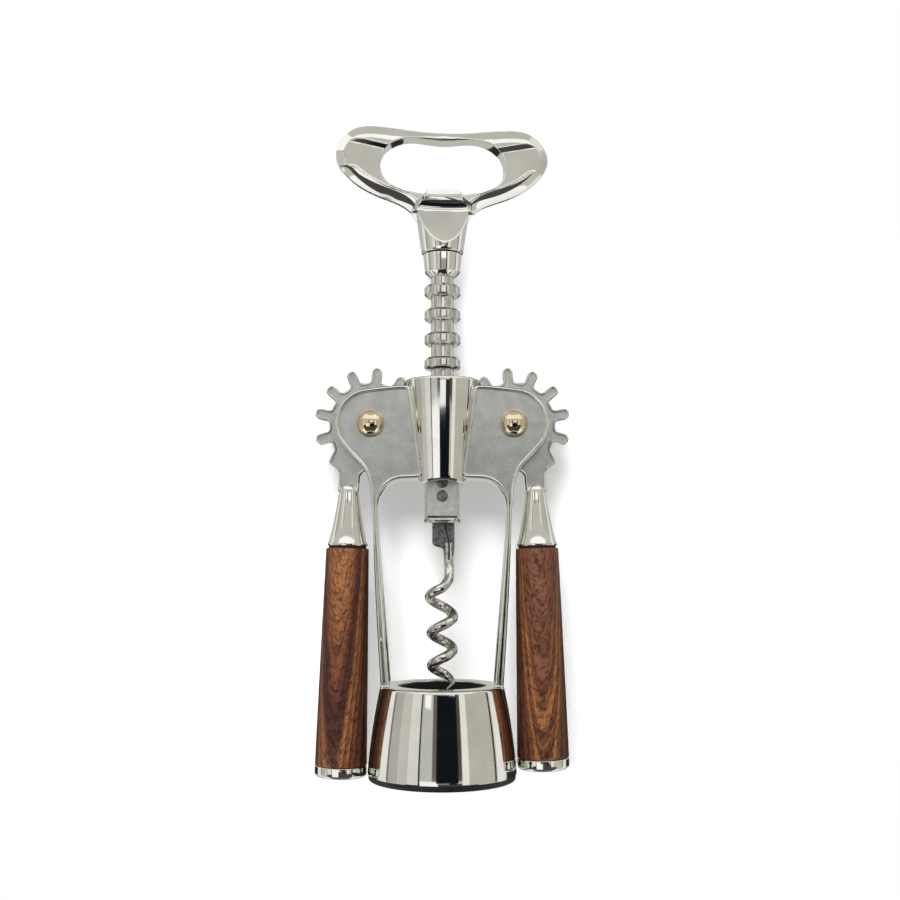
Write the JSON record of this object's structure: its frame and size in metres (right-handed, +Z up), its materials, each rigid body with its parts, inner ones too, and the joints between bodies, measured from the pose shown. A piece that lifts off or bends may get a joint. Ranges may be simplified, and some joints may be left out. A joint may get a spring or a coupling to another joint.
{
  "type": "wing corkscrew",
  "caption": "Wing corkscrew with wooden lever grips, a bottle bell, a pinned worm and an opener handle; raising the levers drives the worm down.",
  "frame": {"origin": "centre of the bell's foot, on the surface it stands on", "axes": "+Z up along the worm, +X through the right lever's pivot, -Y out of the front face"},
  "size_m": [0.0692, 0.0398, 0.1776],
  "materials": {
    "polished_chrome": "polished chrome plate over cast zinc, satin on the recessed faces",
    "rack_steel": "turned and plated steel",
    "worm_steel": "dark rough forged shank, polished wire",
    "pin_steel": "plain steel",
    "rivet_nickel": "polished warm nickel",
    "rosewood": "turned, stained and lacquered",
    "black_plastic": "moulded",
    "dark_washer": "matt"
  },
  "bodies": {
    "frame": {"frame": "polished_chrome", "bell_liner": "black_plastic", "pivot_rivet_left": "rivet_nickel", "pivot_rivet_right": "rivet_nickel", "rivet_cap_left": "rivet_nickel", "rivet_cap_right": "rivet_nickel"},
    "lever_left": {"lever_left": "polished_chrome", "grip_stud_left": "pin_steel", "grip_washer_left": "dark_washer", "grip_left": "rosewood", "end_cap_left": "polished_chrome"},
    "lever_right": {"lever_right": "polished_chrome", "grip_stud_right": "pin_steel", "grip_washer_right": "dark_washer", "grip_right": "rosewood", "end_cap_right": "polished_chrome"},
    "carriage": {"stop_collar": "polished_chrome"},
    "spindle": {"opener_handle": "polished_chrome", "handle_pin": "pin_steel", "rack_shaft": "rack_steel", "worm": "worm_steel", "worm_pin_lower": "pin_steel", "worm_pin_upper": "pin_steel"}
  },
  "joints": [
    {"name": "lever_left_pivot", "type": "hinge", "parent": "frame", "child": "lever_left", "pos_m": [-0.0193, 0, 0.0947], "axis": [0, 1, 0], "range_deg": [0, 140]},
    {"name": "lever_right_pivot", "type": "hinge", "parent": "frame", "child": "lever_right", "pos_m": [0.0193, 0, 0.0947], "axis": [0, -1, 0], "range_deg": [0, 140]},
    {"name": "rack_slide", "type": "slide", "parent": "frame", "child": "carriage", "axis": [0, 0, -1], "range_m": [0, 0.0336]},
    {"name": "handle_spin", "type": "hinge", "parent": "carriage", "child": "spindle", "pos_m": [0, 0, 0.1422], "axis": [0, 0, 1], "continuous": true}
  ],
  "couplings": [
    {"joint": "lever_right_pivot", "follows": "lever_left_pivot", "ratio": 1},
    {"joint": "rack_slide", "follows": "lever_left_pivot", "m_per_rad": 0.01371}
  ]
}
